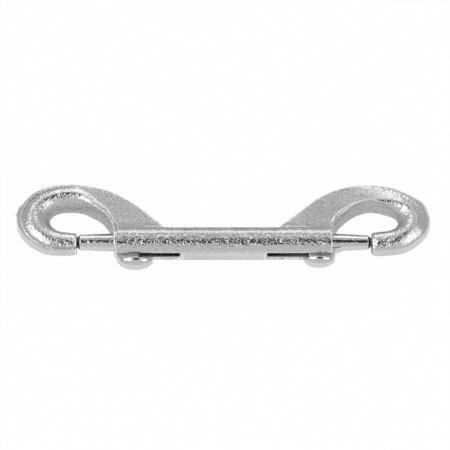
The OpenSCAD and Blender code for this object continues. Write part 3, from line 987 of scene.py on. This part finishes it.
def plated_metal(name, tone, shine, flat_shine, pebble, grain):
    """Plated metal with a pebbled skin and a finer grain, whose heights are in millimetres. Flat
    faces are calmer and duller, the eyes' walls are dullest, worn edges are light with wear and
    painted highlight, and the insides and grooves stay dark with painted shade."""
    mat = bpy.data.materials.new(name)
    mat.use_nodes = True
    n = Nodes(mat.node_tree)
    place = n.add("ShaderNodeTexCoord").outputs["Object"]
    flat, worn_and_lit, shaded_inside = n.mask("flat_face"), n.mask("worn_and_lit_edge"), n.mask("shaded_inside")
    shaded_groove, eye_wall = n.mask("shaded_groove"), n.mask("eye_wall")
    cloud = n.math("SUBTRACT", n.noise(place, *CLOUD_NOISE), NOISE_MIDDLE)
    pebbles = n.math("MULTIPLY", n.noise(place, *PEBBLE_NOISE), pebble * MM)
    pebbles = n.math("MULTIPLY", pebbles, n.less(flat, FLAT_PEBBLE_LOSS))
    grains = n.math("MULTIPLY", n.noise(place, *GRAIN_NOISE), grain * MM)
    bump = n.add("ShaderNodeBump", {"Height": n.math("ADD", pebbles, grains),
                                    "Strength": n.less(worn_and_lit, WORN_RELIEF_LOSS), "Distance": 1.0})
    roughness = shine
    for mask, share in ((flat, flat_shine - shine), (cloud, CLOUD_ROUGHNESS),
                        (shaded_inside, INSIDE_ROUGHNESS), (worn_and_lit, WORN_ROUGHNESS),
                        (eye_wall, EYE_WALL_ROUGHNESS)):
        roughness = n.plus(roughness, mask, share)
    fleck = n.math("SUBTRACT", n.noise(place, *FLECK_NOISE), NOISE_MIDDLE)
    shade = n.plus(tone, cloud, CLOUD_SHADE)
    shade = n.plus(shade, fleck, n.plus(FLECK_SHADE, flat, FLECK_SHADE_ON_FLATS))
    # Worn edges made lighter: wear and painted highlight
    shade = n.plus(shade, worn_and_lit, WORN_AND_HIGHLIGHT_SHADE)
    # Painted shade in the insides, the grooves, the back strip and the webs' feet
    shade = n.math("MULTIPLY", shade, n.less(n.math("MAXIMUM", shaded_inside, shaded_groove), DARK_LOSS))
    colour = n.add("ShaderNodeCombineColor", {
        "Red": shade, "Green": shade, "Blue": n.math("MULTIPLY", shade, BLUE_SHARE)})
    # Worn edges are less metallic, so that they show as a painted highlight
    shader = n.add("ShaderNodeBsdfPrincipled", {
        "Base Color": colour.outputs[0], "Roughness": roughness,
        "Metallic": n.less(worn_and_lit, WORN_AND_HIGHLIGHT_METAL_LOSS), "Normal": bump.outputs[0]})
    n.add("ShaderNodeOutputMaterial", {"Surface": shader.outputs[0]})
    return mat


# Pieces

casting_metal = plated_metal("plated_casting", tone=0.62, shine=0.11, flat_shine=0.28,
                             pebble=0.09, grain=0.02)
bolt_metal = plated_metal("plated_bolt", tone=0.64, shine=0.11, flat_shine=0.11,
                          pebble=0.015, grain=0.006)
spring_metal = plated_metal("spring_wire", tone=0.45, shine=0.32, flat_shine=0.32,
                            pebble=0.0, grain=0.008)

body = casting()
dress_casting(body)
body.name = "hook_casting"
body.data.materials.clear()
body.data.materials.append(casting_metal)
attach(body, "root")
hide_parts("snap_body")

for side, word in ((-1, "left"), (1, "right")):
    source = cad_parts[word + "_bolt"]
    bolt = bpy.data.objects.new(word + "_bolt_casting", source.data.copy())
    bpy.context.scene.collection.objects.link(bolt)
    bolt.data.transform(Matrix.Scale(1 / MM, 4))
    bolt.data.materials.clear()
    dress_bolt(bolt, side)
    bolt.data.materials.append(bolt_metal)
    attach(bolt, word + "_slider")
    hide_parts(word + "_bolt")


# Springs

wire_d = 0.55
spring_fit = 0.25
spring_turns = 9
TURN_STEPS = 40
WIRE_SIDES = 12


def spring(name, word):
    lo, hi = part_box(word + "_spring")
    start, end = lo.x / MM, hi.x / MM
    wire_r = wire_d / 2
    coil_r = bore_d / 2 - spring_fit - wire_r
    steps = spring_turns * TURN_STEPS
    rise = end - start - wire_d
    verts, faces = [], []
    for i in range(steps + 1):
        a = 2 * math.pi * i / TURN_STEPS
        for j in range(WIRE_SIDES):
            b = 2 * math.pi * j / WIRE_SIDES
            r = coil_r + wire_r * math.cos(b)
            verts.append((start + wire_r + rise * i / steps + wire_r * math.sin(b),
                          bore_lift + r * math.cos(a), r * math.sin(a)))
    for k in range(steps):
        for j in range(WIRE_SIDES):
            a = k * WIRE_SIDES
            b = a + WIRE_SIDES
            m = (j + 1) % WIRE_SIDES
            faces.append((a + j, a + m, b + m, b + j))
    faces.append(tuple(range(WIRE_SIDES)))
    faces.append(tuple(range(len(verts) - 1, len(verts) - WIRE_SIDES - 1, -1)))
    obj = outward(new_object(name, verts, faces))
    finish_mesh(obj)
    obj.data.materials.append(spring_metal)
    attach(obj, "root")
    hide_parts(word + "_spring")
    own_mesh(obj)


spring("left_coil", "left")
spring("right_coil", "right")


# Floor, light and camera

# Half the floor's width and the reach of its soft shadow in metres, its grey, how much of it glows
# where it is seen, and how deep the shadow is in what mirrors it
FLOOR_HALF = 4.0
SHADOW_REACH = 0.03
FLOOR_GREY = 0.9
GLOW_SHARE = 0.975
SHADOW_DEPTH = 0.3


def floor(height):
    """Pale floor under the snap that keeps its shadow."""
    corners = ((-1, -1), (1, -1), (1, 1), (-1, 1))
    obj = new_object("floor", [(x * FLOOR_HALF, y * FLOOR_HALF, height) for x, y in corners],
                     [(0, 1, 2, 3)])
    mat = bpy.data.materials.new("pale_floor")
    mat.use_nodes = True
    n = Nodes(mat.node_tree)
    path = n.add("ShaderNodeLightPath").outputs
    seen = n.math("MAXIMUM", path["Is Camera Ray"], path["Is Transmission Ray"])
    seen = n.math("MAXIMUM", seen, path["Is Glossy Ray"])
    share = n.math("MULTIPLY", seen, GLOW_SHARE)
    matte = n.add("ShaderNodeBsdfDiffuse", {"Color": (FLOOR_GREY, FLOOR_GREY, FLOOR_GREY, 1)})
    shadow = n.add("ShaderNodeAmbientOcclusion", {"Distance": SHADOW_REACH}).outputs["AO"]
    shadow = n.math("MULTIPLY", n.math("SUBTRACT", 1.0, shadow), path["Is Glossy Ray"])
    glow = n.add("ShaderNodeEmission", {"Color": (1, 1, 1, 1),
                                        "Strength": n.less(shadow, SHADOW_DEPTH)})
    mix = n.add("ShaderNodeMixShader", {"Fac": share})
    n.tree.links.new(matte.outputs[0], mix.inputs[1])
    n.tree.links.new(glow.outputs[0], mix.inputs[2])
    n.add("ShaderNodeOutputMaterial", {"Surface": mix.outputs[0]})
    obj.data.materials.append(mat)
    obj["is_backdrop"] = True


# Soft boxes and the dark gap of the studio, each painted over those before it: angles from straight
# up to the right and to the back, half its width and length in degrees, share of it that fades out,
# and level
SOFT_BOXES = [
    ("back box", 3, 60, 26, 27, 0.25, 1.5),
    ("back box, right wing", 20, 20, 11, 12, 0.3, 1.5),
    ("back box, left wing", -22, 28, 12, 20, 0.35, 1.6),
    ("front left box", -31, -15, 25, 24, 0.25, 1.85),
    ("front right box", 38, -22, 23, 20, 0.25, 1.6),
    ("gap between the boxes", 3, -9, 14, 22, 0.25, 0.035),
]
FRONT_LEVEL = 0.76
BACK_LEVEL = 0.58

# Just over 1, so that straight down still has a place on the map of the sky
MAP_REACH = 1.02


def studio():
    """Soft grey surroundings with a white box and its two wings behind, one box at each side in
    front, and a dark gap almost straight overhead."""
    world = bpy.data.worlds.new("studio")
    bpy.context.scene.world = world
    world.use_nodes = True
    n = Nodes(world.node_tree)
    way = n.add("ShaderNodeTexCoord").outputs["Generated"]
    axes = n.add("ShaderNodeSeparateXYZ", {"Vector": way}).outputs
    x, y, z = axes[0], axes[1], axes[2]
    # Flat map of the sky: the distance from its middle is close to the tangent of half the angle
    # from straight up
    reach = n.math("ADD", z, MAP_REACH)
    right, rear = n.math("DIVIDE", x, reach), n.math("DIVIDE", y, reach)

    def on_map(degrees):
        return math.tan(math.radians(degrees) / 2)

    def box(to_right, to_rear, half_width, half_length, fade):
        """1 inside a round box of light, fading out toward its edge."""
        off = math.hypot(to_right, to_rear)
        way_out = on_map(off) / off
        across = n.math("DIVIDE", n.math("SUBTRACT", right, to_right * way_out),
                        on_map(half_width))
        along = n.math("DIVIDE", n.math("SUBTRACT", rear, to_rear * way_out),
                       on_map(half_length))
        far = n.math("SQRT", n.math("ADD", n.math("MULTIPLY", across, across),
                                    n.math("MULTIPLY", along, along)))
        return n.ramp(far, 1.0, 1.0 - fade)

    level = n.ramp(y, -1.0, 0.0, FRONT_LEVEL, BACK_LEVEL)
    for _, to_right, to_rear, half_width, half_length, fade, strength in SOFT_BOXES:
        mask = box(to_right, to_rear, half_width, half_length, fade)
        level = n.math("ADD", level, n.math("MULTIPLY", mask,
                                            n.math("SUBTRACT", strength, level)))
    path = n.add("ShaderNodeLightPath")
    seen = n.math("MAXIMUM", path.outputs["Is Camera Ray"], path.outputs["Is Transmission Ray"])
    level = n.math("ADD", n.math("MULTIPLY", level, n.math("SUBTRACT", 1.0, seen)), seen)
    light = n.add("ShaderNodeBackground", {"Color": (1, 1, 1, 1), "Strength": level})
    n.add("ShaderNodeOutputWorld", {"Surface": light.outputs[0]})


# The photograph is 450 pixels square. The camera looks down from the front, and the middle of the
# barrel lies at these pixels.
PICTURE = 450
PIXELS_PER_MM = 3.525
MIDDLE_X = 223.4
MIDDLE_Y = 243.6
CAMERA_TILT = math.radians(26.5)
LENS = 400
SENSOR = 36


def camera():
    data = bpy.data.cameras.new("camera")
    data.lens = LENS
    data.sensor_width = SENSOR
    obj = bpy.data.objects.new("camera", data)
    bpy.context.scene.collection.objects.link(obj)
    up = Vector((0, math.cos(CAMERA_TILT), math.sin(CAMERA_TILT)))
    back = Vector((0, -math.sin(CAMERA_TILT), math.cos(CAMERA_TILT)))
    aim = Vector(((PICTURE / 2 - MIDDLE_X) / PIXELS_PER_MM, 0, 0))
    aim += up * (MIDDLE_Y - PICTURE / 2) / PIXELS_PER_MM
    distance = PICTURE / PIXELS_PER_MM * LENS / SENSOR
    obj.location = (aim + back * distance) * MM
    obj.rotation_euler = (CAMERA_TILT, 0, 0)
    bpy.context.scene.camera = obj


floor(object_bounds()[0].z)
studio()
camera()
bpy.context.scene.view_settings.view_transform = "Standard"
